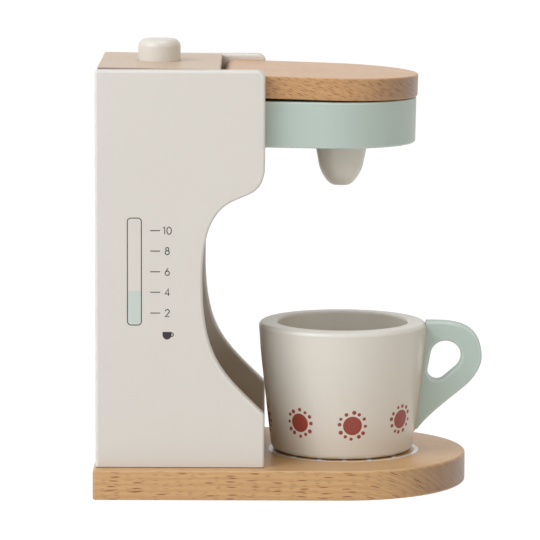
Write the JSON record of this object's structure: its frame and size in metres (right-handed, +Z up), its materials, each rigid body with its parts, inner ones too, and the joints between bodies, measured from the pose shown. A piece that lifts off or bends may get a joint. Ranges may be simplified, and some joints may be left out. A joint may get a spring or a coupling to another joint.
{
  "type": "toy coffee maker",
  "caption": "Wooden pretend-play coffee maker: cut-away body on a rounded base, sprung push button, hinged lid over a pod pocket, brew head with nozzle, and a handled cup that lifts off.",
  "frame": {"origin": "middle of the underside of the base plate", "axes": "+X to the front, where the cup stands and the base is rounded; +Y to the machine's left; +Z up"},
  "size_m": [0.1748, 0.1136, 0.2008],
  "materials": {
    "beech": "satin clear coat on beech, warm side grain with short dark flecks",
    "beech_top": "satin clear coat on paler, finely speckled beech",
    "cream_paint": "satin cream paint on wood and fibre board",
    "mint_paint": "satin mint green paint on wood",
    "dowel_wood": "raw birch",
    "steel": "zinc-plated steel"
  },
  "bodies": {
    "housing": {"base_plate": "beech", "top_block": "beech_top", "side_panel_right": "cream_paint", "side_panel_left": "cream_paint", "back_panel": "cream_paint", "nozzle": "cream_paint", "brew_head": "mint_paint", "button_spring": "steel", "lid_pin_right": "steel", "lid_pin_left": "steel", "base_screw_1": "steel", "top_block_dowel_1": "dowel_wood", "back_panel_dowel_1": "dowel_wood", "brew_head_dowel_1": "dowel_wood", "base_screw_2": "steel", "top_block_dowel_2": "dowel_wood", "back_panel_dowel_2": "dowel_wood", "brew_head_dowel_2": "dowel_wood", "base_screw_3": "steel", "top_block_dowel_3": "dowel_wood", "back_panel_dowel_3": "dowel_wood", "brew_head_dowel_3": "dowel_wood", "base_screw_4": "steel", "top_block_dowel_4": "dowel_wood", "back_panel_dowel_4": "dowel_wood", "brew_head_dowel_4": "dowel_wood"},
    "lid": {"lid": "beech"},
    "button": {"push_button": "cream_paint", "button_washer": "steel", "button_screw": "steel"},
    "cup": {"cup_body": "cream_paint", "cup_handle": "mint_paint", "handle_dowel_upper": "dowel_wood", "handle_dowel_lower": "dowel_wood"}
  },
  "joints": [
    {"name": "lid_hinge", "type": "hinge", "parent": "housing", "child": "lid", "pos_m": [-0.0218, 0, 0.18298], "axis": [0, -1, 0], "range_deg": [0, 95]},
    {"name": "button_press", "type": "slide", "parent": "housing", "child": "button", "axis": [0, 0, -1], "range_m": [0, 0.005], "stiffness_N_per_m": 700, "springref_m": -0.003, "deforming": ["button_spring"]},
    {"name": "cup_lift", "type": "slide", "parent": "housing", "child": "cup", "axis": [0.9659, 0, 0.2588], "range_m": [0, 0.12]}
  ]
}
